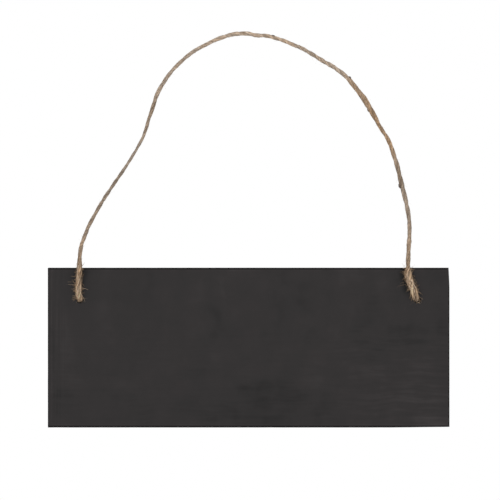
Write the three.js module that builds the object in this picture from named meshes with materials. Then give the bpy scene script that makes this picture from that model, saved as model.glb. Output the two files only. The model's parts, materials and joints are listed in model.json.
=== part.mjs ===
// Wall chalkboard: a thin black writing panel that hangs from one jute cord.
// The cord comes out of a hole near each upper corner, lies on the face up to the top edge, and makes
// a loose arch above the board. Behind each hole it ends in an overhand knot with a short tail.
// Lengths are in millimetres. Seen from the front, +X is to the right, +Z is up, and the writing face
// looks along -Y. The origin is the hanging point: the underside of the cord, above the board's middle.

import * as THREE from "three";

// Board
const BOARD_WIDTH = 250;
const BOARD_HEIGHT = 99.5;
const BOARD_THICKNESS = 3;
const BOARD_ARRIS = 0.3;
const HOLE_DIAMETER = 4;
const HOLE_FROM_SIDE = 20;
const HOLE_FROM_TOP = 20;

// Cord
const CORD_DIAMETER = 2.4;
const TAIL_LENGTH = 13;

// How the board hangs: the drop from the hanging point to the top edge, and how far the board's back
// stands in front of the hanging point
const HANGING_DROP = 144.5;
const BACK_SETBACK = 2;

// Gaps between pieces that touch on the real object, and between the strands inside a knot
const TOUCH_GAP = 0.3;
const STRAND_GAP = 0.5;

// Facets
const CORD_SIDES = 8;
const HOLE_SIDES = 24;
const LOOP_STEPS = 76;
const KNOT_STEPS = 60;
const TAIL_STEPS = 6;
const BALL_RINGS = 3;

// How far apart along the cord two points are, in diameters, before they count as two strands
const STRAND_APART = 1.8;

// The loop's route from the left hole to the right hole, seen from the front, as [right, up] from the
// hanging point. Its two ends, in the hole mouths, come from the holes' own places.
const LOOP_ROUTE = [
  [-105.8, -158.0],
  [-106.0, -153.0],
  [-105.6, -145.0],
  [-105.2, -138.0],
  [-103.3, -127.3],
  [-97.1, -113.7],
  [-89.7, -100.8],
  [-81.3, -88.4],
  [-73.0, -75.8],
  [-65.8, -62.7],
  [-61.2, -48.5],
  [-56.1, -34.4],
  [-47.9, -21.9],
  [-37.0, -11.6],
  [-24.1, -4.0],
  [-10.0, 1.0],
  [-2.5, 1.4],
  [4.9, 0.6],
  [12.3, -0.2],
  [19.6, -2.2],
  [33.4, -7.9],
  [46.3, -15.5],
  [59.0, -23.6],
  [64.3, -29.3],
  [73.2, -41.1],
  [80.5, -54.1],
  [88.0, -67.0],
  [92.6, -81.3],
  [96.2, -95.8],
  [99.5, -110.5],
  [100.3, -121.0],
  [99.7, -132.9],
  [99.2, -143.5],
  [99.8, -149.5],
  [101.6, -154.8],
  [103.4, -159.5],
];

// The overhand knot's route: [out from the standing strand, turns round it, height behind the board],
// where the first and last are shares of the strand spacing. The standing strand comes straight out of
// the hole, turns over, wraps round itself on its way back to the board, and leaves between itself and
// its first wrap.
const KNOT_SHARES = [
  [0.0, 0.0, 0.0],
  [0.0, 0.0, 0.45],
  [0.0, 0.0, 0.9],
  [0.0, 0.0, 1.3],
  [0.0, 0.0, 1.65],
  [0.07, 0.0, 1.98],
  [0.25, 0.0, 2.26],
  [0.53, 0.005, 2.43],
  [0.86, 0.02, 2.42],
  [1.17, 0.05, 2.25],
  [1.44, 0.095, 2.03],
  [1.7, 0.15, 1.82],
  [1.95, 0.21, 1.62],
  [2.05, 0.27, 1.5],
  [1.82, 0.34, 1.42],
  [1.42, 0.42, 1.32],
  [1.12, 0.52, 1.18],
  [1.02, 0.64, 1.02],
  [1.02, 0.76, 0.82],
  [1.02, 0.88, 0.64],
  [1.03, 1.0, 0.54],
  [1.04, 1.1, 0.53],
  [1.03, 1.18, 0.64],
  [1.01, 1.235, 0.9],
  [0.99, 1.265, 1.3],
  [1.01, 1.28, 1.75],
  [1.16, 1.28, 2.2],
  [1.55, 1.28, 2.6],
  [2.15, 1.28, 2.76],
  [2.8, 1.28, 2.66],
];
const KNOT_START_SHARE = -0.52;

// The tail's droop below the knot, in shares of its length: [sideways, back, down]
const TAIL_SHARES = [
  [0.0, 0.0, 0.0],
  [0.0, -0.04, 0.2],
  [0.03, -0.1, 0.42],
  [0.09, -0.17, 0.68],
  [0.17, -0.22, 0.94],
];

// Places worked out from the sizes above
const CORD_RADIUS = CORD_DIAMETER / 2;
const HOLE_RADIUS = HOLE_DIAMETER / 2;
const STRAND_SPACING = CORD_DIAMETER + STRAND_GAP;
const BOARD_TOP = -HANGING_DROP;
const BOARD_BOTTOM = BOARD_TOP - BOARD_HEIGHT;
const BOARD_BACK = -BACK_SETBACK;
const BOARD_FRONT = BOARD_BACK - BOARD_THICKNESS;
const HOLE_X = BOARD_WIDTH / 2 - HOLE_FROM_SIDE;
const HOLE_Z = BOARD_TOP - HOLE_FROM_TOP;
const HINGE_Y = BOARD_FRONT - TOUCH_GAP - CORD_RADIUS;

const FINISHES = {
  board: { color: 0x363434, roughness: 0.85, metalness: 0 },
  cord: { color: 0x9a866e, roughness: 0.95, metalness: 0 },
};

function piece(name, finish, geometry) {
  const mesh = new THREE.Mesh(geometry, new THREE.MeshStandardMaterial(FINISHES[finish]));
  mesh.name = name;
  return mesh;
}

// A cord's eight-sided section, flat side to the board
function cordSection() {
  const corners = [];
  for (let i = 0; i < CORD_SIDES; i += 1) {
    const angle = ((i + 0.5) / CORD_SIDES) * 2 * Math.PI;
    corners.push(new THREE.Vector2(CORD_RADIUS * Math.cos(angle), CORD_RADIUS * Math.sin(angle)));
  }
  return new THREE.Shape(corners);
}

function cordAlong(points, steps) {
  const route = new THREE.CatmullRomCurve3(points, false, "centripetal");
  const geometry = new THREE.ExtrudeGeometry(cordSection(), { steps, extrudePath: route });
  return { route, geometry };
}

// The panel: a rectangle with two round holes, with a fine arris on every edge
function boardPanel() {
  const halfWidth = BOARD_WIDTH / 2;
  const outline = new THREE.Shape();
  outline.moveTo(-halfWidth, BOARD_BOTTOM);
  outline.lineTo(halfWidth, BOARD_BOTTOM);
  outline.lineTo(halfWidth, BOARD_TOP);
  outline.lineTo(-halfWidth, BOARD_TOP);
  outline.closePath();
  for (const x of [-HOLE_X, HOLE_X]) {
    const hole = new THREE.Path();
    hole.absarc(x, HOLE_Z, HOLE_RADIUS, 0, 2 * Math.PI, true);
    outline.holes.push(hole);
  }
  const geometry = new THREE.ExtrudeGeometry(outline, {
    depth: BOARD_THICKNESS - 2 * BOARD_ARRIS,
    curveSegments: HOLE_SIDES / 2,
    bevelThickness: BOARD_ARRIS,
    bevelSize: BOARD_ARRIS,
    bevelOffset: -BOARD_ARRIS,
    bevelSegments: 1,
  });
  const panel = piece("board_panel", "board", geometry);
  panel.rotation.x = Math.PI / 2;
  panel.position.y = BOARD_BACK - BOARD_ARRIS;
  return panel;
}

// The free loop. It lies on the face below the top edge and leans back from there to the hanging point.
// It starts and ends clear of the round elbows in the hole mouths, so that the board can swing about
// the line that joins them.
function hangingCord() {
  const points = LOOP_ROUTE.map(([x, z]) => {
    const fallShare = Math.min(Math.max(z / BOARD_TOP, 0), 1);
    return new THREE.Vector3(x, fallShare * HINGE_Y, z);
  });
  const left = new THREE.Vector3(-HOLE_X, HINGE_Y, HOLE_Z);
  const right = new THREE.Vector3(HOLE_X, HINGE_Y, HOLE_Z);
  const clear = CORD_RADIUS + TOUCH_GAP;
  points.unshift(towards(left, points[0], clear));
  points.push(towards(right, points[points.length - 1], clear));
  return piece("hanging_cord", "cord", cordAlong(points, LOOP_STEPS).geometry);
}

function towards(from, target, distance) {
  return target.clone().sub(from).setLength(distance).add(from);
}

// The cord's stretch through a hole, from the round elbow in front of the face to the back face
function cordLead(name, x) {
  const profile = [];
  for (let i = 0; i <= BALL_RINGS; i += 1) {
    const angle = (i / BALL_RINGS) * (Math.PI / 2);
    profile.push(new THREE.Vector2(CORD_RADIUS * Math.sin(angle), -CORD_RADIUS * Math.cos(angle)));
  }
  const length = BOARD_BACK - TOUCH_GAP - HINGE_Y;
  profile.push(new THREE.Vector2(CORD_RADIUS, length));
  profile.push(new THREE.Vector2(0, length));
  const lead = piece(name, "cord", new THREE.LatheGeometry(profile, CORD_SIDES));
  lead.position.set(x, HINGE_Y, HOLE_Z);
  return lead;
}

// Points of the knot's route, from the hole's back mouth to where its tail hangs free
function knotPoints(x) {
  return KNOT_SHARES.map(([outShare, turnShare, heightShare]) => {
    const angle = (turnShare + KNOT_START_SHARE) * 2 * Math.PI;
    const out = outShare * STRAND_SPACING;
    const y = BOARD_BACK + heightShare * STRAND_SPACING;
    return new THREE.Vector3(x + out * Math.cos(angle), y, HOLE_Z + out * Math.sin(angle));
  });
}

// The least gap between two strands of one cord, measured on points along its route
function leastSelfGap(route) {
  const length = route.getLength();
  const count = Math.ceil((length / CORD_DIAMETER) * KNOT_STEPS);
  const points = route.getSpacedPoints(count);
  const skip = Math.ceil((STRAND_APART * CORD_DIAMETER * count) / length);
  let least = Infinity;
  for (let i = 0; i < points.length; i += 1) {
    for (let j = i + skip; j < points.length; j += 1) {
      least = Math.min(least, points[i].distanceTo(points[j]));
    }
  }
  return least - CORD_DIAMETER;
}

// The knot behind a hole, and the free tail that hangs from it, splayed to one side
function knotAndTail(side, x) {
  const knot = cordAlong(knotPoints(x), KNOT_STEPS);
  console.log(`${side} knot: least gap to itself ${leastSelfGap(knot.route).toFixed(2)} mm`);
  const start = knot.route.getPoint(1).addScaledVector(knot.route.getTangent(1), TOUCH_GAP);
  const tailPoints = TAIL_SHARES.map(([sideShare, backShare, downShare]) => {
    const offset = new THREE.Vector3(Math.sign(x) * sideShare, backShare, -downShare);
    return start.clone().addScaledVector(offset, TAIL_LENGTH);
  });
  const tail = cordAlong(tailPoints, TAIL_STEPS);
  return [
    piece(`${side}_stopper_knot`, "cord", knot.geometry),
    piece(`${side}_cord_tail`, "cord", tail.geometry),
  ];
}

const chalkboard = new THREE.Group();
chalkboard.add(boardPanel(), hangingCord());
for (const [side, x] of [["left", -HOLE_X], ["right", HOLE_X]]) {
  chalkboard.add(cordLead(`${side}_cord_lead`, x), ...knotAndTail(side, x));
}

export default chalkboard;
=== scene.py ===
import json
import math

import bpy
import numpy as np
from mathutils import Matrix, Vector, geometry


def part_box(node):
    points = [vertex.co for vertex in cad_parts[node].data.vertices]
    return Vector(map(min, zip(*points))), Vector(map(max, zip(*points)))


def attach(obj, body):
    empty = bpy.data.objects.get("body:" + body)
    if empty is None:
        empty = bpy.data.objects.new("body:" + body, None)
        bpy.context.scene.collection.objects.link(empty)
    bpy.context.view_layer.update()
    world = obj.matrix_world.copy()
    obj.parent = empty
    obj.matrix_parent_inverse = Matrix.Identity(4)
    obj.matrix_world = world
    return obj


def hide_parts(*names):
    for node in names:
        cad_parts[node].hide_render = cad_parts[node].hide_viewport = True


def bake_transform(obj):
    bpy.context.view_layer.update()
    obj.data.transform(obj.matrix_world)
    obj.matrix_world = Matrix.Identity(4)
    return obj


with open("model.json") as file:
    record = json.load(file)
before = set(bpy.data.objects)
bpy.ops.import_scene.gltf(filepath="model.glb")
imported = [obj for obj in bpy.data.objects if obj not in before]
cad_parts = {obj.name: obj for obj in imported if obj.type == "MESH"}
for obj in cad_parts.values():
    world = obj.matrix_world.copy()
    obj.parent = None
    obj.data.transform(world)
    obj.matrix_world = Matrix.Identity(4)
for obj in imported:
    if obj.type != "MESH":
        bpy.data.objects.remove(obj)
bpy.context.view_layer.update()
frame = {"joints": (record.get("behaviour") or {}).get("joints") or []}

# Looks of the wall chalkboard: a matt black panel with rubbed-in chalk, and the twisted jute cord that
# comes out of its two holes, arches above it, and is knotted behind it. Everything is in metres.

MM = 0.001
# The least that is divided by
TINY = 1e-9

# Places from the frame
PANEL_LOW, PANEL_HIGH = (np.array(corner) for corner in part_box("board_panel"))
FRONT_Y, BACK_Y = PANEL_LOW[1], PANEL_HIGH[1]
TOP_Z, BOTTOM_Z = PANEL_HIGH[2], PANEL_LOW[2]
HOLES = {
    side: sum(np.array(corner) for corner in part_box(f"{side}_cord_lead")) / 2
    for side in ("left", "right")
}
HINGE = np.array(frame["joints"][0]["pos_m"])

# Cord
CORD_DIAMETER = 2.4 * MM
KNOT_DIAMETER = 2.75 * MM
STRAND_GAP = 0.5 * MM
RING_STEP = 0.35 * MM
CORD_SIDES = 32

# The twine's two plies, in shares of its full radius: each one's thickness and distance off the middle,
# and the depth of the grooves
PLY_SHARE = 0.86
PLY_OFF_SHARE = 0.14
GROOVE_SHARE = 0.1
GROOVE_WIDTH = math.radians(15)
PLY_PITCH = 17 * MM
# How high the strands and bundles of fibre stand on its skin
STRAND_SHARE = 0.026
BUNDLE_SHARE = 0.035
# The mean width of two pressed plies, as a share of their full width
MEAN_WIDTH_SHARE = 0.93
# Twine that is thicker than this has come loose, with a longer twist and shallower grooves
FIRM_DIAMETER = 2.7 * MM
# How unsteady the twine is: (how much a thing varies, over what length, and how often round the twine)
WANDER = {
    "pitch": (0.22, 12 * MM, 1),
    "ply": (0.06, 9 * MM, 1),
    "groove": (0.4, 5 * MM, 1),
    "strands": (1.0, 2.4 * MM, 44),
    "bundles": (1.0, 5 * MM, 14),
    "ply_light": (0.03, 3.5 * MM, 1),
    "light": (0.02, 4 * MM, 1),
    "brown": (0.15, 6 * MM, 1),
}

# The knots' cord starts this deep in the hole, swollen and painted dark, which is painted shade inside the
# hole: (how far along, thickness, lightness)
LEAD_IN_HOLE = 1.1 * MM
KNOT_LOOKS = [
    (0, 4.4 * MM, 0.05),
    (LEAD_IN_HOLE + 0.2 * MM, 4.4 * MM, 0.1),
    (LEAD_IN_HOLE + 1.6 * MM, KNOT_DIAMETER, 1.0),
]

# From each hole: how far the loop has come open and how far it has no fuzz, the stretches of its fringe
# and of the left end's hairiest side, and how far the knot's cord has no fuzz
OPENED_LENGTH = 30 * MM
BARE_LENGTH = 8 * MM
FRINGE_STRETCH = (5 * MM, 24 * MM)
HAIRY_STRETCH = (3 * MM, 13 * MM)
KNOT_BARE_LENGTH = 4 * MM

# Fibres: their points in shares of their length, their sides, the longest and shortest that stand off, and
# the thickest that are laid on firm and on opened twine
FIBRE_SHARES = np.linspace(0, 1, 6)[:, None]
FIBRE_SIDES = 3
LOOP_FUZZ = 4 * MM
KNOT_FUZZ = 3.5 * MM
SHORTEST_FUZZ = 0.7 * MM
THIN_FIBRE = 0.16 * MM
THICK_FIBRE = 0.42 * MM
# How deep in a cut end and in a hole they begin
FRAY_DEPTH = 0.8 * MM
TUFT_DEPTH = 0.5 * MM
# How high they lie over the board and over skin within reach, and how far a fringe's ends sink
LYING_HEIGHT = 0.2 * MM
CLIMB_HEIGHT = 0.1 * MM
CLIMB_REACH = 0.4 * MM
LOOSE_REACH = 15 * MM
FRINGE_SINK = 0.8 * MM

# What loose parts keep clear of the panel, and how far from a hole they are at most
CLEARANCE = 0.06 * MM
HOLE_REACH = 30 * MM

# How far inside its route the twine lies where it is free, and how high over the board it is so far in
LOOP_INSIDE = 0.17 * MM
LOOP_INSIDE_FROM = 12 * MM

# The loop's route from the left hole to the right hole, as (right, up) from the hanging point
LOOP_ROUTE = [
    (-0.1058, -0.1580),
    (-0.1057, -0.1530),
    (-0.1053, -0.1450),
    (-0.1052, -0.1380),
    (-0.1033, -0.1273),
    (-0.0971, -0.1137),
    (-0.0897, -0.1008),
    (-0.0813, -0.0884),
    (-0.0730, -0.0758),
    (-0.0658, -0.0627),
    (-0.0612, -0.0485),
    (-0.0561, -0.0344),
    (-0.0479, -0.0219),
    (-0.0370, -0.0116),
    (-0.0241, -0.0040),
    (-0.0100, 0.0010),
    (-0.0025, 0.0014),
    (0.0049, 0.0006),
    (0.0123, -0.0002),
    (0.0196, -0.0022),
    (0.0334, -0.0079),
    (0.0463, -0.0155),
    (0.0590, -0.0236),
    (0.0643, -0.0293),
    (0.0732, -0.0411),
    (0.0805, -0.0541),
    (0.0880, -0.0670),
    (0.0926, -0.0813),
    (0.0962, -0.0958),
    (0.0995, -0.1105),
    (0.1003, -0.1210),
    (0.0997, -0.1329),
    (0.0992, -0.1435),
    (0.0995, -0.1495),
    (0.1011, -0.1548),
    (0.1034, -0.1595),
]

# How the cord leaves a hole: the radius and turn of its bend, where the bend starts in the hole, as
# (right, up) from the hole's middle, and which way it then lies on the face
MOUTH_BEND = 5.0 * MM
MOUTH_TURN = math.radians(75)
MOUTH_START = {"left": (-0.3 * MM, -0.6 * MM), "right": (-0.3 * MM, -0.1 * MM)}
MOUTH_LEAN = {"left": (-0.1, 0.995), "right": (-0.33, 0.944)}

# The cord along the loop: (share of its length, thickness in mm, brownness, lightness). The lightness is
# partly the jute's own tone and partly painted light: 0.3 at both ends is painted shade inside the holes,
# and the highest values, on the opened stretches beside the holes, are partly painted highlight
LOOP_LOOKS = [
    (0.0, 2.8, 0.5, 0.3),
    (0.005, 3.2, 0.7, 1.25),
    (0.01, 3.5, 0.8, 1.6),
    (0.016, 3.5, 0.9, 1.6),
    (0.025, 3.2, 1.0, 1.45),
    (0.036, 2.9, 1.0, 1.15),
    (0.046, 2.8, 0.9, 1.22),
    (0.05, 2.7, 0.7, 1.08),
    (0.062, 2.55, 0.45, 0.88),
    (0.08, 2.3, 0.45, 0.9),
    (0.1, 2.15, 0.3, 0.8),
    (0.15, 2.0, 0.2, 0.78),
    (0.2, 1.85, 0.05, 0.66),
    (0.24, 1.6, 0.0, 0.98),
    (0.28, 1.9, 0.3, 0.85),
    (0.31, 2.3, 0.5, 0.88),
    (0.34, 2.4, 0.2, 1.1),
    (0.365, 2.1, 0.05, 0.98),
    (0.43, 2.15, 0.1, 1.3),
    (0.48, 2.5, 0.2, 1.32),
    (0.53, 2.15, 0.5, 1.45),
    (0.58, 2.25, 0.25, 1.25),
    (0.61, 2.35, 0.2, 1.1),
    (0.64, 2.45, 0.4, 1.15),
    (0.66, 2.75, 0.8, 1.1),
    (0.685, 3.1, 0.8, 1.0),
    (0.7, 3.6, 0.8, 0.92),
    (0.715, 3.15, 0.95, 0.88),
    (0.74, 2.15, 1.0, 1.0),
    (0.79, 2.65, 0.7, 0.91),
    (0.815, 2.6, 0.75, 0.72),
    (0.83, 3.0, 0.4, 0.78),
    (0.845, 2.6, 0.4, 0.95),
    (0.89, 2.35, 0.2, 0.9),
    (0.93, 2.5, 0.4, 0.84),
    (0.944, 2.2, 0.7, 1.1),
    (0.95, 3.2, 0.8, 1.45),
    (0.954, 3.9, 0.85, 1.6),
    (0.965, 3.8, 0.9, 1.55),
    (0.975, 3.9, 0.9, 1.6),
    (0.985, 4.3, 0.9, 1.65),
    (0.992, 4.0, 0.8, 1.1),
    (1.0, 2.8, 0.5, 0.3),
]

# Dark woody specks in the jute: (share of the loop, which way it stands off: out of the arch is 1 and
# into it is -1, length in mm, width in mm)
WOODY_SPECKS = [
    (0.530, 1, 2.6, 0.8),
    (0.655, 1, 1.8, 1.2),
    (0.709, -1, 2.2, 0.7),
    (0.829, -1, 3.0, 1.5),
]
SPECK_RINGS = 9
SPECK_SIDES = 10

# The overhand knot's route: (out from the standing strand, turns round it, height behind the board),
# where the first and last are shares of the strand spacing
STRAND_SPACING = CORD_DIAMETER + STRAND_GAP
KNOT_START_SHARE = -0.52
KNOT_SHARES = [
    (0.0, 0.0, 0.0),
    (0.0, 0.0, 0.45),
    (0.0, 0.0, 0.9),
    (0.0, 0.0, 1.3),
    (0.0, 0.0, 1.65),
    (0.07, 0.0, 1.98),
    (0.25, 0.0, 2.26),
    (0.53, 0.005, 2.43),
    (0.86, 0.02, 2.42),
    (1.17, 0.05, 2.25),
    (1.44, 0.095, 2.03),
    (1.7, 0.15, 1.82),
    (1.95, 0.21, 1.62),
    (2.05, 0.27, 1.5),
    (1.82, 0.34, 1.42),
    (1.42, 0.42, 1.32),
    (1.12, 0.52, 1.18),
    (1.02, 0.64, 1.02),
    (1.02, 0.76, 0.82),
    (1.02, 0.88, 0.64),
    (1.03, 1.0, 0.54),
    (1.04, 1.1, 0.53),
    (1.03, 1.18, 0.64),
    (1.01, 1.235, 0.9),
    (0.99, 1.265, 1.3),
    (1.01, 1.28, 1.75),
    (1.16, 1.28, 2.2),
    (1.55, 1.28, 2.6),
    (2.15, 1.28, 2.76),
    (2.8, 1.28, 2.66),
]

# The tail below the knot, in shares of its length: (sideways, back, down)
TAIL_LENGTH = 13 * MM
TAIL_SHARES = [
    (0.0, -0.04, 0.2),
    (0.03, -0.1, 0.42),
    (0.09, -0.17, 0.68),
    (0.17, -0.22, 0.94),
]

# Fibres that have come loose by the holes: (right, up) from the hole's middle to each of its two ends, its
# bow and its thickness, all in mm, and its tone. Those of tone 0.1 or less are dark lines along the cord
# that stand for the shade in its gaps: painted shade
LOOSE_LEFT = [
    ((-2.2, 10.6), (-7.8, 11.0), 0.3, 0.15, 0.7),
    ((-2.0, 9.6), (-7.9, 9.7), -0.2, 0.2, 0.8),
    ((-0.6, 7.2), (4.9, 6.3), 0.5, 0.35, 0.8),
    ((0.4, 10.4), (2.9, 8.0), 0.5, 0.3, 0.4),
    ((-0.6, 0.6), (-5.2, 0.1), 0.3, 0.3, 0.7),
    ((0.6, 3.0), (3.2, -1.6), 0.9, 0.3, 0.8),
    ((0.2, 1.4), (2.4, 1.6), 0.3, 0.3, 0.6),
    ((-1.2, 3.2), (-3.1, 1.6), -0.4, 0.25, 0.5),
    ((-1.6, 16.0), (-0.6, 3.0), 0.4, 0.35, 0.9),
    ((-0.2, 13.0), (-1.2, 8.0), 0.1, 0.4, 0.95),
    ((0.2, 9.0), (0.8, 1.5), -0.3, 0.4, 1.0),
    ((-1.9, 8.0), (-1.3, 0.8), 0.3, 0.4, 0.95),
    ((0.5, 18.0), (-0.5, 9.0), 0.2, 0.3, 0.1),
    ((-0.9, 10.0), (-0.1, 2.0), 0.2, 0.3, 0.05),
]
LOOSE_RIGHT = [
    ((-4.6, 18.4), (-1.5, 19.0), 0.3, 0.25, 0.6),
    ((-3.9, 15.2), (-1.3, 14.2), 0.3, 0.3, 0.4),
    ((-3.2, 13.0), (-0.9, 12.2), 0.3, 0.25, 0.5),
    ((-6.6, 11.2), (-10.8, 9.8), 0.5, 0.1, 0.6),
    ((-6.4, 9.6), (-12.6, 8.0), 0.3, 0.1, 0.6),
    ((-4.0, 3.0), (-4.9, 0.6), 0.4, 0.3, 0.6),
    ((-3.2, 2.2), (-4.0, -1.0), -0.2, 0.25, 0.6),
    ((-0.4, 2.0), (3.4, 0.2), 0.5, 0.3, 0.7),
    ((-2.6, 1.4), (-2.2, -1.4), 0.3, 0.25, 0.4),
    ((0.2, -1.8), (1.8, -2.3), 0.3, 0.35, 0.8),
    ((-4.0, 12.6), (-0.2, 6.4), -0.3, 0.5, 1.0),
    ((-4.9, 12.0), (-1.9, 6.6), 0.3, 0.35, 0.0),
    ((-6.6, 16.0), (-3.4, 8.0), 0.5, 0.4, 0.95),
    ((-5.2, 9.0), (-2.4, 1.5), 0.4, 0.4, 1.0),
    ((-3.4, 9.4), (-0.8, 2.0), 0.5, 0.45, 1.0),
    ((-2.6, 6.4), (-1.4, 1.0), 0.1, 0.3, 0.05),
    ((-7.4, 18.6), (-6.8, 12.0), 0.2, 0.3, 0.1),
]

# Colours of the jute, by the brightness of its grain
JUTE_GREY = [(0.3, (0.226, 0.171, 0.126)), (0.5, (0.405, 0.33, 0.263)), (0.7, (0.58, 0.503, 0.43))]
JUTE_BROWN = [(0.3, (0.203, 0.12, 0.063)), (0.5, (0.433, 0.278, 0.161)), (0.7, (0.628, 0.436, 0.28))]
JUTE_FIBRES = [
    (0.0, (0.092, 0.055, 0.03)),
    (0.3, (0.27, 0.178, 0.106)),
    (0.65, (0.487, 0.345, 0.222)),
    (1.0, (0.72, 0.573, 0.432)),
]
# Painted shade: the colour that the grooves between the plies are darkened towards
GROOVE_SHADE_COLOUR = (0.05, 0.032, 0.02, 1)
PALEST = (0.85, 0.85, 0.85)
BARK_COLOURS = [(0.35, (0.06, 0.04, 0.03)), (0.65, (0.14, 0.1, 0.08))]

# The panel's finish: the paint, how much one step of dust lightens it, and the darkest that it gets
PAINT_ALBEDO = 0.0225
DUST_STEP = 0.0027
DARKEST_ALBEDO = 0.003
PAINT_TINT = (1.06, 0.945, 0.945)

# Where streaks of chalk begin and where they are whole: wiped ones, upright ones and broad ones
WIPED_X = (45 * MM, 75 * MM)
WIPED_Z = (-175 * MM, -195 * MM)
UPRIGHT_X = (-112 * MM, -119 * MM)
BROAD_Z = (-200 * MM, -180 * MM)
# How far clouds' outlines and wiped streaks stray, and where the chalk ends behind the face
RAGGED_REACH = (14 * MM, 0, 10 * MM)
WAVED_REACH = (0, 0, 5 * MM)
CHALK_DEPTH = (0.9 * MM, 0.3 * MM)

# The rim, in from the edges: where its painted shade stops at the top and bottom, and at the sides, and
# where the bead of paint inside it begins and ends, which at the left is a little further in
END_RIM_SHADE = (0.9 * MM, 1.5 * MM)
SIDE_RIM_SHADE = (0.4 * MM, 0.9 * MM)
BEAD_START = (1.3 * MM, 1.6 * MM)
BEAD_END = (2.3 * MM, 1.9 * MM)
BEAD_SHIFT = 0.4 * MM

# Clouds of chalk dust and, below nought, clean places: (right, up, half width, half height, in mm from
# the hanging point, and their strength in steps of dust)
SMUDGES = [
    (6, -232, 34, 16, -1.4),
    (4, -230, 17, 14, -1.3),
    (6, -222, 9, 6, -0.9),
    (3, -238, 9, 7, -1.1),
    (-14, -233, 7, 4, 0.5),
    (20, -222, 7, 6, -0.6),
    (38, -232, 11, 10, -1.6),
    (-45, -234, 34, 10, -0.3),
    (-64, -236, 6, 4, -0.5),
    (-63, -221, 5, 4, -0.8),
    (-80, -225, 10, 3, -0.7),
    (-112, -223, 8, 3, -1.3),
    (-33, -211, 9, 2.5, -0.9),
    (-26, -173, 11, 5, -1.2),
    (-14, -186, 11, 7, -1.3),
    (25, -163, 11, 16, -1.5),
    (34, -166, 5, 4, -1.0),
    (-3, -160, 5, 5, -0.7),
    (-63, -157, 6, 10, -0.6),
    (95, -186, 30, 9, -1.1),
    (110, -179, 12, 4, -0.6),
    (60, -217, 6, 3, -1.3),
    (65, -226, 7, 3, -1.2),
    (76, -216, 6, 4, -0.8),
    (-57, -155, 4, 13, 0.9),
    (-79, -180, 6, 6, 0.8),
    (-19, -158, 3, 12, 1.5),
    (-36, -188, 4, 13, 0.9),
    (7, -155, 5, 14, 1.5),
    (55, -162, 7, 12, 0.8),
    (34, -178, 6, 4, 0.9),
    (55, -187, 4, 5, 0.6),
    (46, -216, 12, 5, 1.2),
    (45, -205, 16, 3, 0.9),
    (-20, -201, 5, 3, 1.0),
    (-82, -216, 6, 3, 0.9),
    (-108, -213, 4, 5, 1.2),
    (-118, -170, 4, 24, 1.2),
    (-112, -192, 4, 16, 0.9),
    (98, -222, 32, 18, 1.2),
    (103, -204, 18, 4, 0.3),
    (108, -228, 12, 4, 1.4),
    (116, -239, 12, 3, 3.6),
    (31, -151, 8, 2.5, 1.8),
]

# Where the cord keeps the dust off the panel, together with painted shadow of the cord on the paint beside
# it, in the same form
BARE_AND_SHADOWED_PLACES = [
    (-105, -152, 5, 12, -1.9),
    (-102.3, -147.5, 2.2, 5, -2.0),
    (-97, -146, 5, 4.5, -2.0),
    (101, -150, 5, 11, -1.9),
    (97.0, -148, 2.6, 5, -3.0),
    (92, -149, 5, 6, -2.0),
    (97.6, -156, 2.2, 4, -3.6),
]

# The panel's edges: its corners' radii from the bottom left one round, and how deep and how far its right
# side is worn below the top corner, and its bottom edge beside the right corner
HOLE_RADIUS = 2.0 * MM
HOLE_POINTS = 40
EDGE_STEP = 1.0 * MM
EDGE_SOFTNESS = 0.25 * MM
EDGE_UNEVENNESS = 0.015 * MM
CORNER_POINTS = 7
CORNER_RADII = [0.4 * MM, 0.5 * MM, 0.6 * MM, 0.5 * MM]
WORN_SIDE = (0.55 * MM, 13 * MM)
WORN_BOTTOM = (0.41 * MM, 40 * MM)

# Floor
FLOOR_DROP = 0.12
FLOOR_RADIUS = 0.7
FLOOR_SIDES = 64
FLOOR_FADE = (0.3, 0.65)

# Light: the surround's strength, and the lamps as (name, place, size, power)
SURROUND_LIGHT = 0.55
LAMPS = [
    ("key", (-0.7, -1.1, 0.7), 0.9, 9.0),
    ("fill", (0.9, -1.0, 0.1), 0.9, 4.0),
    ("back", (0.5, 1.2, 0.7), 0.9, 11.0),
]

# Where the photograph has the board in its frame
FRAME_PIXELS = 500
BOARD_PIXELS = 401.65
BOARD_MIDDLE_PIXEL = 248.65
BOARD_TOP_PIXEL = 267.7
CAMERA_DISTANCE = 6.0
SENSOR = 36


def make_camera():
    """A square-on camera whose frame holds the board where the photograph has it."""
    pixel = (PANEL_HIGH[0] - PANEL_LOW[0]) / BOARD_PIXELS
    x = (FRAME_PIXELS / 2 - BOARD_MIDDLE_PIXEL) * pixel
    z = TOP_Z + (BOARD_TOP_PIXEL - FRAME_PIXELS / 2) * pixel
    data = bpy.data.cameras.new("camera")
    data.sensor_width = SENSOR
    data.lens = SENSOR * CAMERA_DISTANCE / (FRAME_PIXELS * pixel)
    camera = bpy.data.objects.new("camera", data)
    camera.location = (x, FRONT_Y - CAMERA_DISTANCE, z)
    camera.rotation_euler = (math.radians(90), 0, 0)
    bpy.context.scene.collection.objects.link(camera)
    bpy.context.scene.camera = camera


def smooth_noise(rng, count, blur):
    """Smooth random values of unit spread, where blur is the width of a bump in samples."""
    reach = int(3 * blur) + 1
    window = np.exp(-0.5 * (np.arange(-reach, reach + 1) / blur) ** 2)
    values = np.convolve(rng.standard_normal(count + 2 * reach), window, "valid")
    return values / np.sqrt((window**2).sum())


def lengths_along(path):
    """How far along a path each of its points is."""
    return np.concatenate([[0], np.cumsum(np.linalg.norm(np.diff(path, axis=0), axis=1))])


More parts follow.
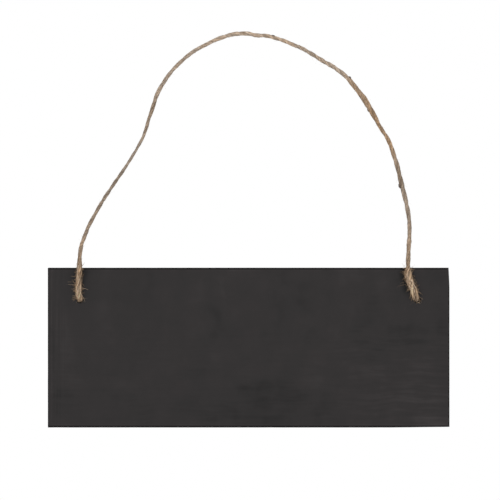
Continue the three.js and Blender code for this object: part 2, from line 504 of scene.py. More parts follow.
def curve_through(points, step):
    """Even points along the centripetal Catmull-Rom curve through the given points."""
    p = np.array(points, float)
    p = np.vstack([2 * p[0] - p[1], p, 2 * p[-1] - p[-2]])
    t = np.linspace(0, 1, 24, endpoint=False)[:, None]
    fine = []
    for a, b, c, d in zip(p, p[1:], p[2:], p[3:]):
        ab, bc, cd = (np.linalg.norm(v - u) ** 0.5 for u, v in ((a, b), (b, c), (c, d)))
        m = ((b - a) / ab - (c - a) / (ab + bc) + (c - b) / bc) * bc
        n = ((c - b) / bc - (d - b) / (bc + cd) + (d - c) / cd) * bc
        fine.append(
            (2 * t**3 - 3 * t**2 + 1) * b
            + (t**3 - 2 * t**2 + t) * m
            + (3 * t**2 - 2 * t**3) * c
            + (t**3 - t**2) * n
        )
    fine = np.vstack([*fine, p[-2][None]])
    along = lengths_along(fine)
    even = np.linspace(0, along[-1], int(along[-1] / step) + 1)
    return np.stack([np.interp(even, along, fine[:, k]) for k in range(3)], axis=1)


def frames_along(path):
    """Tangents, and two normals carried along the path without twist."""
    tangents = np.gradient(path, axis=0)
    tangents /= np.maximum(np.linalg.norm(tangents, axis=1), TINY)[:, None]
    normals = np.zeros_like(path)
    normal = np.eye(3)[np.argmin(np.abs(tangents[0]))]
    for i, tangent in enumerate(tangents):
        normal = normal - tangent * (normal @ tangent)
        normal /= np.linalg.norm(normal)
        normals[i] = normal
    return tangents, normals, np.cross(tangents, normals)


def turned(angle, first, second):
    """The direction at an angle from the first direction to the second."""
    return math.cos(angle) * first + math.sin(angle) * second


def add_mesh(name, vertices, faces, material, **attributes):
    """A smooth piece with values at its points. An array of three dimensions holds vectors."""
    mesh = bpy.data.meshes.new(name)
    mesh.from_pydata(np.asarray(vertices).tolist(), [], faces)
    for key, values in attributes.items():
        kind, field = ("FLOAT_VECTOR", "vector") if np.ndim(values) == 3 else ("FLOAT", "value")
        layer = mesh.attributes.new(key, kind, "POINT")
        layer.data.foreach_set(field, np.asarray(values, np.float32).ravel())
    mesh.polygons.foreach_set("use_smooth", [True] * len(mesh.polygons))
    mesh.materials.append(material)
    mesh.update()
    piece = bpy.data.objects.new(name, mesh)
    bpy.context.scene.collection.objects.link(piece)
    return piece


def tube_sides(rings, around, offset=0):
    """Quads between the rings of a tube."""
    faces = []
    for low in range(offset, offset + (rings - 1) * around, around):
        for j in range(around):
            k = (j + 1) % around
            faces.append((low + j, low + k, low + around + k, low + around + j))
    return faces


def tube_faces(rings, around, offset=0):
    """Quads of a tube of rings, with a flat cap at each end."""
    last = offset + (rings - 1) * around
    caps = [tuple(reversed(range(offset, offset + around))), tuple(range(last, last + around))]
    return tube_sides(rings, around, offset) + caps


def twine(name, path, diameters, looks, material, seed, clear):
    """A two-ply twisted cord along a path: one skin, with a groove along each side where the plies meet.

    Returns the piece and its skin's points, by ring and by column.
    """
    rng = np.random.default_rng(seed)
    rings = len(path)
    along = lengths_along(path)[:, None]
    step = along[-1, 0] / (rings - 1)

    def wander(thing):
        """Random values by ring and column, as WANDER says."""
        amount, reach, columns = WANDER[thing]
        values = [smooth_noise(rng, rings, reach / step) for _ in range(columns)]
        return amount * np.stack(values, axis=1)

    full = diameters[:, None] / 2 / MEAN_WIDTH_SHARE
    looseness = np.maximum(1, diameters[:, None] / FIRM_DIAMETER)
    loose = looseness**2 - 1
    pitch = PLY_PITCH * np.clip(1 + wander("pitch"), 0.6, 1.5) * looseness
    phi = np.arange(CORD_SIDES)[None, :] / CORD_SIDES * math.tau
    theta = phi + np.cumsum(step / pitch)[:, None] * math.tau
    # 1 on the first ply and 0 on the second
    ply = np.clip(0.5 + 2 * np.cos(phi), 0, 1)
    ply_radius = PLY_SHARE * (1 + wander("ply") * (2 * ply - 1))
    envelope = PLY_OFF_SHARE * np.abs(np.cos(phi))
    envelope = envelope + np.sqrt(ply_radius**2 - (PLY_OFF_SHARE * np.sin(phi)) ** 2)
    from_groove = np.abs(np.abs((phi + math.pi) % math.tau - math.pi) - math.pi / 2)
    groove = np.exp(-0.5 * (from_groove / GROOVE_WIDTH) ** 2)
    groove = groove * np.clip(0.65 + wander("groove"), 0.05, 1.3) / looseness**2
    strands = around_noise(wander("strands"), phi)
    bundles = around_noise(wander("bundles"), phi)
    strand_height = STRAND_SHARE * looseness**2 * strands
    radius = full * (envelope - GROOVE_SHARE * groove + strand_height + BUNDLE_SHARE * bundles)
    _, normals, binormals = frames_along(path)
    out = np.cos(theta)[..., None] * normals[:, None, :] + np.sin(theta)[..., None] * binormals[:, None, :]
    vertices = clear(path[:, None, :] + radius[..., None] * out)
    # The grain's own map in mm, where the second ply has another stretch of grain
    forward = along / MM + 40 * ply
    lay = np.stack([np.cos(phi) * full / MM, np.sin(phi) * full / MM, forward], axis=2)
    brown, light = (column[:, None] for column in looks)
    light = light * (1 + wander("ply_light") * (2 * ply - 1) + wander("light"))
    # Raised bundles and strands are painted lighter, more where the twine has opened: painted highlight on
    # the skin's relief
    light = light * (1 + (0.04 + 0.1 * loose) * bundles + 0.2 * loose * strands)
    brown = brown + wander("brown") + 0.1 * bundles
    # Painted shade in the grooves between the plies, lighter over raised strands and bundles
    groove_shade = np.clip(0.4 * groove - (0.12 + 0.35 * loose) * strands - 0.1 * bundles, 0, 0.9)
    shown = {"lay": lay, "groove": groove_shade, "brown": brown, "light": light}
    faces = tube_faces(rings, CORD_SIDES)
    return add_mesh(name, vertices.reshape(-1, 3), faces, material, **shown), vertices


def around_noise(columns, angles):
    """Noise at angles round a tube, from columns of values that are spread evenly round it."""
    count = columns.shape[1]
    place = (angles / math.tau * count) % count
    left = np.floor(place).astype(int) % count
    share = place - np.floor(place)
    share = share * share * (3 - 2 * share)
    row = np.arange(len(columns))[:, None]
    return columns[row, left] * (1 - share) + columns[row, (left + 1) % count] * share


def fibre_mesh(name, strands, material):
    """Thin tapered fibres. Each strand is (points, thickness at its root, tone)."""
    vertices, faces, tones = [], [], []
    for points, thickness, tone in strands:
        points = np.array(points)
        _, normals, binormals = frames_along(points)
        taper = np.linspace(1, 0.35, len(points))
        faces += tube_faces(len(points), FIBRE_SIDES, len(vertices))
        for i, point in enumerate(points):
            for j in range(FIBRE_SIDES):
                out = turned(j / FIBRE_SIDES * math.tau, normals[i], binormals[i])
                vertices.append(point + out * thickness * taper[i] / 2)
                tones.append(tone)
    return add_mesh(name, vertices, faces, material, tone=tones)


def fuzz(path, diameters, per_mm, longest, seed, clear):
    """Loose fibres that stand off a cord, as strands for fibre_mesh."""
    rng = np.random.default_rng(seed)
    tangents, normals, binormals = frames_along(path)
    strands = []
    for _ in range(int(lengths_along(path)[-1] / MM * per_mm)):
        i = rng.integers(2, len(path) - 2)
        out = turned(rng.uniform(0, math.tau), normals[i], binormals[i])
        sideways = np.cross(tangents[i], out)
        forward = tangents[i] * rng.choice([-1, 1])
        length = min(longest, rng.exponential(longest * 0.3) + SHORTEST_FUZZ)
        direction = forward * rng.uniform(0.5, 1.0) + out * rng.uniform(0.15, 0.9)
        direction = direction + sideways * rng.uniform(-0.5, 0.5)
        direction /= np.linalg.norm(direction)
        curl = rng.normal(size=3) * 0.5
        root = path[i] + out * diameters[i] * 0.38
        points = root + direction * length * FIBRE_SHARES + curl * length * FIBRE_SHARES**2 * 0.5
        thickness = rng.uniform(0.035, 0.075) * MM
        strands.append((clear(points), thickness, rng.uniform(0.3, 1)))
    return strands


def laid(skin, per_mm, thickest, lift_mm, seed, clear):
    """Fibres that lie along a cord's skin, some with an end that lifts off, as strands for fibre_mesh."""
    rng = np.random.default_rng(seed)
    centre = skin.mean(axis=1)
    strands = []
    for _ in range(int(lengths_along(centre)[-1] / MM * per_mm)):
        length = rng.uniform(3, 11) * MM
        rings = min(int(length / RING_STEP), len(skin) - 1)
        i = rng.integers(0, len(skin) - rings) + np.arange(0, rings, 2)
        share = np.linspace(0, 1, len(i))
        column = rng.uniform(0, CORD_SIDES) + share * rng.normal() * 2.5
        left = np.floor(column).astype(int)
        part = (column - left)[:, None]
        points = skin[i, left % CORD_SIDES] * (1 - part) + skin[i, (left + 1) % CORD_SIDES] * part
        out = points - centre[i]
        out /= np.linalg.norm(out, axis=1)[:, None]
        lift = np.sin(math.pi * share) * rng.uniform(0, 0.08) + share**4 * rng.exponential(lift_mm)
        if rng.random() < 0.5:
            points, out = points[::-1], out[::-1]
        thickness = rng.uniform(0.4, 1) * thickest
        tone = rng.uniform(0, 0.25) if rng.random() < 0.4 else rng.uniform(0.45, 1)
        strands.append((clear(points + out * lift[:, None] * MM), thickness, tone))
    return strands


def frayed_end(path, diameter, count, seed, clear):
    """The fibres that spread from a cut end, as strands for fibre_mesh."""
    rng = np.random.default_rng(seed)
    tangent, normal, binormal = (directions[-1] for directions in frames_along(path))
    shares = np.linspace(0, 1, 7)[:, None]
    strands = []
    for _ in range(count):
        sideways = turned(rng.uniform(0, math.tau), normal, binormal)
        out = diameter / 2 * rng.uniform(0, 0.9)
        length = rng.uniform(1.2, 4.0) * MM
        spread = sideways * rng.uniform(0.1, 0.6) + rng.normal(size=3) * 0.12
        start = path[-1] - tangent * FRAY_DEPTH + sideways * out
        points = start + (tangent * shares + spread * shares**1.6) * length
        thickness = rng.uniform(0.07, 0.16) * MM
        strands.append((clear(points), thickness, rng.uniform(0.3, 1)))
    return strands


def clear_of_board(points, front):
    """Moves what would be in the board out of its face, or into the hole that it is nearest to."""
    points = np.array(points)
    x, y, z = points[..., 0], points[..., 1], points[..., 2]
    level = z < TOP_Z
    for hole in HOLES.values():
        near = level & (np.abs(x - hole[0]) < HOLE_REACH)
        out = np.hypot(x - hole[0], z - hole[2])
        inward = out - HOLE_RADIUS + CLEARANCE
        deep = y - (FRONT_Y - CLEARANCE) if front else BACK_Y + CLEARANCE - y
        in_board = near & (deep > 0) & (inward > 0)
        to_face = in_board & (deep <= inward)
        points[..., 1] = np.where(to_face, y - deep if front else y + deep, y)
        to_hole = in_board & (deep > inward)
        shrink = np.where(to_hole, (out - inward) / np.maximum(out, TINY), 1)
        points[..., 0] = hole[0] + (x - hole[0]) * shrink
        points[..., 2] = hole[2] + (z - hole[2]) * shrink
    return points


def in_front(points):
    return clear_of_board(points, True)


def behind(points):
    return clear_of_board(points, False)


class Nodes:
    """Builds a material's nodes. An input's value is a number, a colour or another node's socket."""

    def __init__(self, name, tree=None):
        if tree is None:
            self.material = bpy.data.materials.new(name)
            self.material.use_nodes = True
            tree = self.material.node_tree
        self.tree = tree
        self.tree.nodes.clear()

    def add(self, kind, inputs=None, **settings):
        node = self.tree.nodes.new(kind)
        for key, value in settings.items():
            setattr(node, key, value)
        for key, value in (inputs or {}).items():
            if isinstance(value, bpy.types.NodeSocket):
                self.tree.links.new(value, node.inputs[key])
            else:
                node.inputs[key].default_value = value
        return node

    def math(self, operation, *values):
        return self.add("ShaderNodeMath", dict(enumerate(values)), operation=operation).outputs[0]

    def vector(self, operation, *values, output=0):
        node = self.add("ShaderNodeVectorMath", dict(enumerate(values)), operation=operation)
        return node.outputs[output]

    def scaled(self, vector, amount):
        return self.add("ShaderNodeVectorMath", {0: vector, "Scale": amount}, operation="SCALE").outputs[0]

    def ramp(self, factor, stops):
        node = self.add("ShaderNodeValToRGB", {"Fac": factor})
        elements = node.color_ramp.elements
        while len(elements) < len(stops):
            elements.new(0.5)
        for element, (position, colour) in zip(elements, stops):
            element.position = position
            element.color = (*colour, 1)
        return node.outputs["Color"]

    def smooth(self, value, low, high, start=0.0, end=1.0):
        """A smooth step from start to end, as the value goes from low to high."""
        inputs = {"Value": value, "From Min": low, "From Max": high, "To Min": start, "To Max": end}
        return self.add("ShaderNodeMapRange", inputs, interpolation_type="SMOOTHSTEP").outputs[0]

    def spread(self, noise, start, end, reach=0.2):
        """Noise, which keeps round a half, spread out from start to end."""
        return self.smooth(noise, 0.5 - reach, 0.5 + reach, start, end)

    def mix(self, factor, first, second):
        return self.add("ShaderNodeMix", {0: factor, 6: first, 7: second}, data_type="RGBA").outputs[2]

    def attribute(self, name, output="Fac"):
        return self.add("ShaderNodeAttribute", attribute_name=name).outputs[output]

    def place(self):
        return self.add("ShaderNodeTexCoord").outputs["Object"]

    def noise(self, vector, grain, detail, roughness=0.5, output="Fac"):
        """Noise with so many grains to a unit, alike in all directions or for each axis."""
        if isinstance(grain, tuple):
            vector, grain = self.mapped(vector, grain), 1.0
        inputs = {"Vector": vector, "Scale": grain, "Detail": detail, "Roughness": roughness}
        return self.add("ShaderNodeTexNoise", inputs).outputs[output]

    def mapped(self, vector, scale, place=(0.0, 0.0, 0.0)):
        """The vector seen from a place, in units that are one over the scale."""
        shift = tuple(-p * s for p, s in zip(place, scale))
        inputs = {"Vector": vector, "Location": shift, "Scale": scale}
        return self.add("ShaderNodeMapping", inputs).outputs["Vector"]

    def bump(self, height, strength, distance):
        inputs = {"Height": height, "Strength": strength, "Distance": distance}
        return self.add("ShaderNodeBump", inputs).outputs[0]

    def surface(self, shader):
        self.add("ShaderNodeOutputMaterial", {"Surface": shader})
        return self.material

    def principled(self, **inputs):
        """The finished material, with one shader whose inputs are named with a low line for a space."""
        named = {key.replace("_", " "): value for key, value in inputs.items()}
        return self.surface(self.add("ShaderNodeBsdfPrincipled", named).outputs[0])


def jute_material():
    """Twisted jute: pale and dark fibres along the cord, painted shade in the grooves, greyer and browner
    stretches.
    """
    n = Nodes("jute")
    lay = n.attribute("lay", "Vector")
    fine = n.noise(lay, (7.0, 7.0, 0.55), detail=4.0, roughness=0.65)
    strands = n.noise(lay, (2.4, 2.4, 0.16), detail=2.0)
    mottle = n.noise(lay, (0.9, 0.9, 0.6), detail=1.0)
    tone = n.mix(n.attribute("brown"), n.ramp(fine, JUTE_GREY), n.ramp(fine, JUTE_BROWN))
    shade = n.math("MULTIPLY", n.attribute("light"), n.spread(strands, 0.78, 1.18))
    shade = n.math("MULTIPLY", shade, n.spread(mottle, 0.68, 1.3))
    # The grooves are darkened towards the groove colour: painted shade
    colour = n.mix(n.attribute("groove"), n.scaled(tone, shade), GROOVE_SHADE_COLOUR)
    return n.principled(
        Base_Color=n.vector("MINIMUM", colour, PALEST),
        Roughness=0.9,
        Specular_IOR_Level=0.2,
        Sheen_Weight=0.15,
        Sheen_Roughness=0.5,
        Normal=n.bump(n.math("MULTIPLY_ADD", fine, 0.6, strands), strength=0.5, distance=0.1 * MM),
    )


def fibre_material():
    """Single loose fibres, each of its own tone."""
    n = Nodes("fibre")
    colour = n.ramp(n.attribute("tone"), JUTE_FIBRES)
    return n.principled(Base_Color=colour, Roughness=0.6, Specular_IOR_Level=0.3)


def woody_material():
    """The dark scraps of bark that are spun into jute."""
    n = Nodes("jute_bark")
    colour = n.ramp(n.noise(n.place(), 1500.0, detail=3.0), BARK_COLOURS)
    return n.principled(Base_Color=colour, Roughness=0.8)


def clouds(n, place, ragged):
    """Steps of dust in clouds with ragged outlines, with clean places and painted shadow beside the cord.
    """
    dust = n.spread(n.noise(place, 75.0, detail=2.5), -1.2, 1.2, reach=0.17)
    for outline, marks in ((ragged, SMUDGES), (place, BARE_AND_SHADOWED_PLACES)):
        for right, up, half_width, half_height, strength in marks:
            scale = (1 / MM / half_width, 0, 1 / MM / half_height)
            seen = n.mapped(outline, scale, (right * MM, 0, up * MM))
            far = n.vector("LENGTH", seen, output="Value")
            dust = n.math("ADD", dust, n.smooth(far, 0.4, 1.7, strength, 0.0))
    return dust


def streaks(n, dust, place, ragged, waved, x, z):
    """Dust with streaks: wiped sideways at the lower right and, weaker, at the lower left, brushed up at
    the left and, broad and weak, in the upper half."""
    low, right = n.smooth(z, *WIPED_Z), n.smooth(x, *WIPED_X)
    wiped = n.noise(waved, (34.0, 0.0, 420.0), detail=3.0, roughness=0.55)
    amount = n.math("MULTIPLY", low, n.smooth(right, 0.0, 1.0, 0.6, 1.3))
    amount = n.math("ADD", amount, n.math("MULTIPLY", right, 0.35))
    dust = n.math("MULTIPLY_ADD", n.spread(wiped, -1.0, 1.0, reach=0.18), amount, dust)
    upright = n.noise(place, (700.0, 0.0, 12.0), detail=2.0)
    dust = n.math("MULTIPLY_ADD", n.spread(upright, -1.8, 2.3), n.smooth(x, *UPRIGHT_X), dust)
    broad = n.noise(ragged, (60.0, 0.0, 11.0), detail=1.5)
    return n.math("MULTIPLY_ADD", n.spread(broad, -1.1, 1.1, reach=0.15), n.smooth(z, *BROAD_Z), dust)


def rim_bead_and_shade(n, dust, x, z):
    """Dust with a fine bead of paint inside the rim, and the rim's painted shade.

    The rim is painted darker all round, as painted shade along the edges, and the bead is along the top
    and the bottom and down the left side.
    """
    from_left = n.math("SUBTRACT", x, PANEL_LOW[0])
    from_side = n.math("MINIMUM", from_left, n.math("SUBTRACT", PANEL_HIGH[0], x))
    from_top = n.math("SUBTRACT", TOP_Z, z)
    from_end = n.math("MINIMUM", from_top, n.math("SUBTRACT", z, BOTTOM_Z))
    inside = n.math("MINIMUM", n.math("SUBTRACT", from_left, BEAD_SHIFT), from_end)
    bead = n.math("MULTIPLY", n.smooth(inside, *BEAD_START), n.smooth(inside, *BEAD_END))
    end, side = n.smooth(from_end, *END_RIM_SHADE, 0.5), n.smooth(from_side, *SIDE_RIM_SHADE, 0.5)
    return n.math("MULTIPLY_ADD", bead, 2.4, dust), n.math("MULTIPLY", end, side)


def blackboard_material():
    """Matt blackboard paint, with clouds and streaks of rubbed-in chalk and a rim painted darker, which is
    painted shade.
    """
    n = Nodes("blackboard_paint")
    place = n.place()
    axes = n.add("ShaderNodeSeparateXYZ", {0: place}).outputs
    wander = n.vector("SUBTRACT", n.noise(place, 40.0, detail=1.5, output="Color"), (0.5, 0.5, 0.5))
    ragged = n.vector("MULTIPLY_ADD", wander, RAGGED_REACH, place)
    waved = n.vector("MULTIPLY_ADD", wander, WAVED_REACH, place)
    dust = streaks(n, clouds(n, place, ragged), place, ragged, waved, axes["X"], axes["Z"])
    dust, painted_rim_shade = rim_bead_and_shade(n, dust, axes["X"], axes["Z"])
    grain = n.noise(place, 1600.0, detail=2.0, roughness=0.6)
    dust = n.math("MULTIPLY_ADD", n.spread(grain, -1.0, 1.0), 0.12, dust)
    # Only the writing face has chalk on it
    dust = n.math("MULTIPLY", dust, n.smooth(axes["Y"], *(FRONT_Y + depth for depth in CHALK_DEPTH)))
    # Beside the cord the dust goes deepest, as painted shadow of the cord, down to the darkest albedo
    albedo = n.math("MULTIPLY_ADD", dust, DUST_STEP, PAINT_ALBEDO)
    # The rim is painted darker here: painted shade along the edges
    albedo = n.math("MULTIPLY", n.math("MAXIMUM", albedo, DARKEST_ALBEDO), painted_rim_shade)
    strokes = n.noise(place, (90.0, 90.0, 1200.0), detail=2.0)
    return n.principled(
        Base_Color=n.scaled(PAINT_TINT, albedo),
        Roughness=n.smooth(dust, -2.0, 2.0, 0.74, 0.88),
        # Reflection is weaker at the rim, with its painted shade, and where the dust is lowest beside the
        # cord, with its painted shadow
        Specular_IOR_Level=n.math("MULTIPLY", n.smooth(dust, -9.0, -5.0, 0.1, 0.25), painted_rim_shade),
        Normal=n.bump(n.math("MULTIPLY_ADD", strokes, 0.5, grain), strength=0.2, distance=0.04 * MM),
    )


def worn(distance, depth, reach):
    """How deep an edge is worn at a distance from its most worn corner."""
    return depth * np.clip(1 - distance / reach, 0, 1) ** 1.25


def panel_outline():
    """Points round the panel's face with rounded corners, and each one's outward direction."""
    rng = np.random.default_rng(11)
    low, high = (np.array([c[0], c[2]]) for c in (PANEL_LOW, PANEL_HIGH))
    corners = [(low[0], low[1]), (high[0], low[1]), (high[0], high[1]), (low[0], high[1])]
    inward = [(1, 1), (-1, 1), (-1, -1), (1, -1)]
    centres = [np.array(c) + np.array(i) * r for c, i, r in zip(corners, inward, CORNER_RADII)]
    points, outs = [], []
    for k, (centre, radius) in enumerate(zip(centres, CORNER_RADII)):
        first = math.pi + k * math.pi / 2
        for angle in np.linspace(first, first + math.pi / 2, CORNER_POINTS):
            outs.append(np.array([math.cos(angle), math.sin(angle)]))
            points.append(centre + radius * outs[-1])
        start = points[-1]
        edge = centres[(k + 1) % 4] + CORNER_RADII[(k + 1) % 4] * outs[-1] - start
        for gone in np.arange(EDGE_STEP, np.linalg.norm(edge), EDGE_STEP):
            points.append(start + edge * gone / np.linalg.norm(edge))
            outs.append(outs[-1])
    points, outs = np.array(points), np.array(outs)
    uneven = np.abs(smooth_noise(rng, len(points), blur=4)) * EDGE_UNEVENNESS
    points = points - outs * uneven[:, None]
    side = worn(high[1] - points[:, 1], *WORN_SIDE) * np.maximum(outs[:, 0], 0)
    bottom = worn(high[0] - points[:, 0], *WORN_BOTTOM) * np.maximum(-outs[:, 1], 0)
    return points + np.stack([-side, bottom], axis=1), outs


def panel(material):
    """The drilled panel: a closed mesh with softened edges and softened hole rims."""
    loops = [(*panel_outline(), True)]
    for hole in HOLES.values():
        angles = np.linspace(0, math.tau, HOLE_POINTS, endpoint=False)
        ring = np.stack([np.cos(angles), np.sin(angles)], axis=1)
        loops.append((np.array([hole[0], hole[2]]) + HOLE_RADIUS * ring, -ring, False))
    bend = [
        (EDGE_SOFTNESS * (1 - math.sin(t)), EDGE_SOFTNESS * (1 - math.cos(t)))
        for t in np.linspace(0, math.pi / 2, 5)
    ]
    profile = [(inset, FRONT_Y + depth) for inset, depth in bend]
    profile += [(inset, BACK_Y - depth) for inset, depth in reversed(bend)]
    vertices, faces, fronts, backs = [], [], [], []
    for points, outs, outer in loops:
        count, base = len(points), len(vertices)
        for inset, y in profile:
            vertices += [(x, y, z) for x, z in points - outs * inset]
        quads = tube_sides(len(profile), count, base)
        faces += quads if outer else [quad[::-1] for quad in quads]
        fronts.append(range(base, base + count))
        backs.append(range(len(vertices) - count, len(vertices)))
    rounded = len(faces)
    for rings, outward in ((fronts, -1), (backs, 1)):
        index = [i for ring in rings for i in ring]
        outline = [[Vector((vertices[i][0], vertices[i][2], 0)) for i in ring] for ring in rings]
        for triangle in geometry.tessellate_polygon(outline):
            corners = [index[i] for i in triangle]
            a, b, c = (np.array(vertices[i]) for i in corners)
            if np.cross(b - a, c - a)[1] * outward < 0:
                corners.reverse()
            faces.append(tuple(corners))
    piece = add_mesh("board", vertices, faces, material)
    piece.data.polygons.foreach_set("use_smooth", [i < rounded for i in range(len(faces))])
    return piece


def mouth_route(side):
    """The loop's bend from inside a hole to where it lies on the face."""
    right, up = MOUTH_START[side]
    lean_right, lean_up = MOUTH_LEAN[side]
    route = []
    for turn in np.linspace(MOUTH_TURN, 0, 6):
        y = HINGE[1] + MOUTH_BEND * (1 - math.cos(turn))
        gone = MOUTH_BEND * (math.sin(MOUTH_TURN) - math.sin(turn))
        route.append((HOLES[side][0] + right + lean_right * gone, y, HINGE[2] + up + lean_up * gone))
    return route


def loop_path():
    """The loop's centreline, from inside the left hole to inside the right hole."""
    # The bends out of the holes take the place of the route's two ends
    points = [(x, min(max(z / TOP_Z, 0), 1) * HINGE[1], z) for x, z in LOOP_ROUTE[1:-1]]
    path = curve_through(mouth_route("left") + points + mouth_route("right")[::-1], RING_STEP)
    tangents = frames_along(path)[0]
    inward = np.stack([tangents[:, 2], np.zeros(len(path)), -tangents[:, 0]], axis=1)
    free = np.clip((path[:, 2] - TOP_Z) / LOOP_INSIDE_FROM, 0, 1)
    return path + inward * (LOOP_INSIDE * free)[:, None]


def knot_path(side):
    """The centreline from inside a hole, through the knot behind the board, to the tail's end."""
    hole = HOLES[side]
    points = [(hole[0], BACK_Y - LEAD_IN_HOLE, HINGE[2])]
    for out_share, turn_share, height_share in KNOT_SHARES:
        angle = (turn_share + KNOT_START_SHARE) * math.tau
        out = out_share * STRAND_SPACING
        y = BACK_Y + height_share * STRAND_SPACING
        points.append((hole[0] + out * math.cos(angle), y, HINGE[2] + out * math.sin(angle)))
    end = np.array(points[-1])
    splay = math.copysign(1, hole[0])
    for side_share, back_share, down_share in TAIL_SHARES:
        points.append(end + TAIL_LENGTH * np.array([splay * side_share, back_share, -down_share]))
    return curve_through(points, RING_STEP)


def loop_looks(path):
    """The loop's thickness, brownness and lightness at each ring."""
    shares = lengths_along(path) / lengths_along(path)[-1]
    known = np.array(LOOP_LOOKS).T
    thickness, brown, light = (np.interp(shares, known[0], values) for values in known[1:])
    return thickness * MM, (brown, light)


def loose_strands(skin):
    """The loose fibres by the holes, which lie on the cord's skin or else on the board."""
    skin = skin.reshape(-1, 3)
    shares = np.linspace(0, 1, 16)
    strands = []
    for side, fibres in (("left", LOOSE_LEFT), ("right", LOOSE_RIGHT)):
        hole = HOLES[side]
        near = skin[np.abs(skin[:, 0] - hole[0]) < LOOSE_REACH]
        for (x0, z0), (x1, z1), bow, thickness, tone in fibres:
            x = hole[0] + (x0 + (x1 - x0) * shares) * MM
            z = HINGE[2] + (z0 + (z1 - z0) * shares + bow * 4 * shares * (1 - shares)) * MM
            under = [near[np.hypot(near[:, 0] - a, near[:, 2] - b) < CLIMB_REACH, 1] for a, b in zip(x, z)]
            y = np.array([part.min(initial=FRONT_Y - LYING_HEIGHT) for part in under])
            y = np.convolve(np.pad(y, 2, "edge"), [0.1, 0.2, 0.4, 0.2, 0.1], "valid") - CLIMB_HEIGHT
            strands.append((np.stack([x, y, z], axis=1), thickness * MM, tone))
    return strands


def fringe(path, diameters, count, seed, sides=(-1, 1)):
    """Short dull fibres that stick out sideways from the opened cord and lie on the board."""
    rng = np.random.default_rng(seed)
    tangents = frames_along(path)[0]
    strands = []
    for _ in range(count):
        i = rng.integers(0, len(path))
        sideways = np.cross(tangents[i], (0, 1, 0)) * rng.choice(sides)
        along = tangents[i] * rng.normal() * 0.9
        length = rng.uniform(0.8, 2.2) * MM
        curl = rng.normal(size=3) * length * 0.3
        start = path[i] + sideways * diameters[i] * 0.45
        points = start + (sideways + along) * length * FIBRE_SHARES + curl * FIBRE_SHARES**2
        sunk = points[:, 1] + FRINGE_SINK * FIBRE_SHARES[:, 0]
        points[:, 1] = np.minimum(sunk, FRONT_Y - LYING_HEIGHT)
        strands.append((points, rng.uniform(0.12, 0.3) * MM, rng.uniform(0.1, 0.7)))
    return strands


def mouth_tufts(count, seed):
    """Short loose fibres that stick out all round the cord in each hole's mouth."""
    rng = np.random.default_rng(seed)
    strands = []
    for hole in HOLES.values():
        mouth = np.array([hole[0], FRONT_Y + TUFT_DEPTH, HINGE[2]])
        for _ in range(count):
            angle = rng.choice([0.0, math.pi]) + rng.normal() * 0.5
            sideways = np.array([math.cos(angle), 0, math.sin(angle)])
            start = mouth + sideways * rng.uniform(0.4, 1.6) * MM
            length = rng.uniform(0.8, 2.4) * MM
            direction = sideways * rng.uniform(0.3, 1.0) + np.array([0, -rng.uniform(0.4, 1.0), 0])
            curl = rng.normal(size=3) * 0.4
            points = start + (direction * FIBRE_SHARES + curl * FIBRE_SHARES**2) * length
            strands.append((in_front(points), rng.uniform(0.06, 0.16) * MM, rng.uniform(0.2, 1)))
    return strands


def woody_specks(path, diameters, material):
    """The bark scraps on the loop: small flattened knobs half sunk in the cord."""
    tangents = frames_along(path)[0]
    vertices, faces = [], []
    for share, side, length, width in WOODY_SPECKS:
        i = int(share * (len(path) - 1))
        away = np.cross(tangents[i], (0, 1, 0)) * side
        away /= np.linalg.norm(away)
        depth = np.cross(tangents[i], away)
        centre = path[i] + away * diameters[i] * 0.5
        faces += tube_faces(SPECK_RINGS, SPECK_SIDES, len(vertices))
        for t in np.linspace(-0.97, 0.97, SPECK_RINGS):
            swell = math.sqrt(1 - t * t) * (1 + 0.15 * math.sin(9 * t))
            for angle in np.arange(SPECK_SIDES) / SPECK_SIDES * math.tau:
                ring = away * math.cos(angle) * 0.5 + depth * math.sin(angle) * 0.6
                vertices.append(centre + (tangents[i] * t * length / 2 + ring * width * swell) * MM)
    return add_mesh("cord_bark_specks", vertices, faces, material)


def loop_hairs(path, diameters, skin):
    """The loop's fuzz and the fibres on its skin, which are more and thicker where it has opened."""
    bare, opened = (round(length / RING_STEP) for length in (BARE_LENGTH, OPENED_LENGTH))
    strands = fuzz(path[bare:-bare], diameters[bare:-bare], 1.4, LOOP_FUZZ, 5, in_front)
    strands += laid(skin, 3.0, THIN_FIBRE, 0.12, 6, in_front)
    for seed, part in ((9, skin[:opened]), (10, skin[-opened:])):
        strands += laid(part, 4.5, THICK_FIBRE, 0.3, seed, in_front)
    return strands


def stray_hairs(path, diameters, skin):
    """The loose strands, tufts and fringes by the holes. The left end's outer side is the hairiest."""
    strands = loose_strands(skin) + mouth_tufts(count=44, seed=8)
    near, far = (round(length / RING_STEP) for length in FRINGE_STRETCH)
    for seed, part in ((12, slice(near, far)), (13, slice(-far, -near))):
        strands += fringe(path[part], diameters[part], 80, seed)
    hairy = slice(*(round(length / RING_STEP) for length in HAIRY_STRETCH))
    return strands + fringe(path[hairy], diameters[hairy], 40, 14, sides=(1,))


def knot_pieces(side, jute, fibre, seed):
    """A hole's knot and tail, and their loose fibres."""
    line = knot_path(side)
    known = np.array(KNOT_LOOKS).T
    thick, light = (np.interp(lengths_along(line), known[0], values) for values in known[1:])
    looks = (np.full(len(line), 0.5), light)
    knot, skin = twine(f"{side}_knot_twine", line, thick, looks, jute, seed, behind)
    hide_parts(f"{side}_cord_lead", f"{side}_stopper_knot", f"{side}_cord_tail")
    start = round(KNOT_BARE_LENGTH / RING_STEP)
    strands = fuzz(line[start:], thick[start:], 1.8, KNOT_FUZZ, seed + 1, behind)
    strands += frayed_end(line, KNOT_DIAMETER, 60, seed + 2, behind)
    strands += laid(skin[start:], 4.0, THIN_FIBRE, 0.12, seed + 3, behind)
    hairs = fibre_mesh(f"{side}_knot_fibres", strands, fibre)
    for piece in (knot, hairs):
        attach(piece, "board")
    return [knot, hairs]


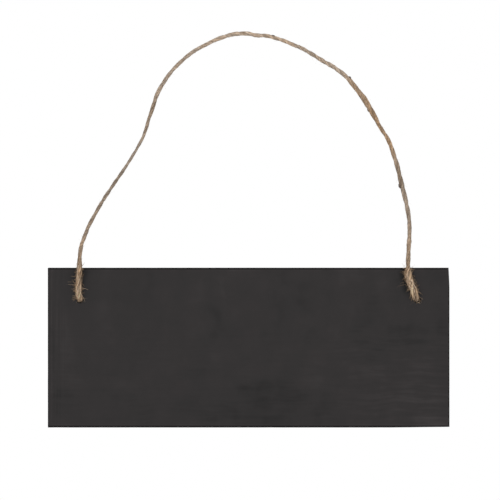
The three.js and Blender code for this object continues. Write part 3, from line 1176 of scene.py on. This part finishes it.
def cord_pieces():
    """The cord: its loop, and the knot and tail behind each hole, each with its loose fibres."""
    jute, fibre = jute_material(), fibre_material()
    path = loop_path()
    diameters, looks = loop_looks(path)
    loop, skin = twine("cord_loop_twine", path, diameters, looks, jute, 3, in_front)
    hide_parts("hanging_cord")
    hairs = fibre_mesh("cord_loop_fibres", loop_hairs(path, diameters, skin), fibre)
    strays = fibre_mesh("cord_stray_fibres", stray_hairs(path, diameters, skin), fibre)
    specks = woody_specks(path, diameters, woody_material())
    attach(specks, "cord_loop")
    for piece in (loop, hairs, strays):
        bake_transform(piece)
    carried = [hairs, strays, specks]
    carried += knot_pieces("left", jute, fibre, seed=20) + knot_pieces("right", jute, fibre, seed=30)


def make_floor():
    """A plain pale floor below the board, which fades into the white surround."""
    n = Nodes("floor")
    fade = n.smooth(n.vector("LENGTH", n.place(), output="Value"), *FLOOR_FADE)
    seen = n.add("ShaderNodeLightPath").outputs["Is Camera Ray"]
    grey = n.add("ShaderNodeBsdfDiffuse", {"Color": (0.8, 0.8, 0.8, 1)}).outputs[0]
    glow = n.add("ShaderNodeEmission", {"Color": (1, 1, 1, 1), "Strength": 0.25}).outputs[0]
    nothing = n.add("ShaderNodeBsdfTransparent").outputs[0]
    lit = n.add("ShaderNodeAddShader", {0: grey, 1: glow}).outputs[0]
    pale = n.add("ShaderNodeMixShader", {0: seen, 1: grey, 2: lit}).outputs[0]
    n.surface(n.add("ShaderNodeMixShader", {0: fade, 1: pale, 2: nothing}).outputs[0])
    angles = np.linspace(0, math.tau, FLOOR_SIDES, endpoint=False)
    edge = [(FLOOR_RADIUS * math.cos(a), FLOOR_RADIUS * math.sin(a), 0) for a in angles]
    floor = add_mesh("floor", edge, [tuple(range(FLOOR_SIDES))], n.material)
    floor.location = (0, 0, BOTTOM_Z - FLOOR_DROP)


def make_light():
    """A white surround for the camera and for reflections, and soft lamps from the front and back."""
    world = bpy.data.worlds.new("surround")
    world.use_nodes = True
    bpy.context.scene.world = world
    n = Nodes("surround", world.node_tree)
    rays = n.add("ShaderNodeLightPath").outputs
    seen = n.math("MAXIMUM", rays["Is Camera Ray"], rays["Is Glossy Ray"])
    seen = n.math("MAXIMUM", seen, rays["Is Transmission Ray"])
    strength = n.math("MULTIPLY_ADD", seen, 1 - SURROUND_LIGHT, SURROUND_LIGHT)
    background = n.add("ShaderNodeBackground", {"Color": (1, 1, 1, 1), "Strength": strength})
    n.add("ShaderNodeOutputWorld", {"Surface": background.outputs[0]})
    middle = Vector((0, 0, (TOP_Z + BOTTOM_Z) / 2))
    for name, place, size, power in LAMPS:
        data = bpy.data.lights.new(name, "AREA")
        data.size = size
        data.energy = power
        lamp = bpy.data.objects.new(name, data)
        lamp.location = place
        lamp.rotation_euler = (middle - Vector(place)).to_track_quat("-Z", "Y").to_euler()
        bpy.context.scene.collection.objects.link(lamp)


make_camera()
cord_pieces()
board = panel(blackboard_material())
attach(board, "board")
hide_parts("board_panel")
make_floor()
make_light()
bpy.context.scene.view_settings.view_transform = "Standard"
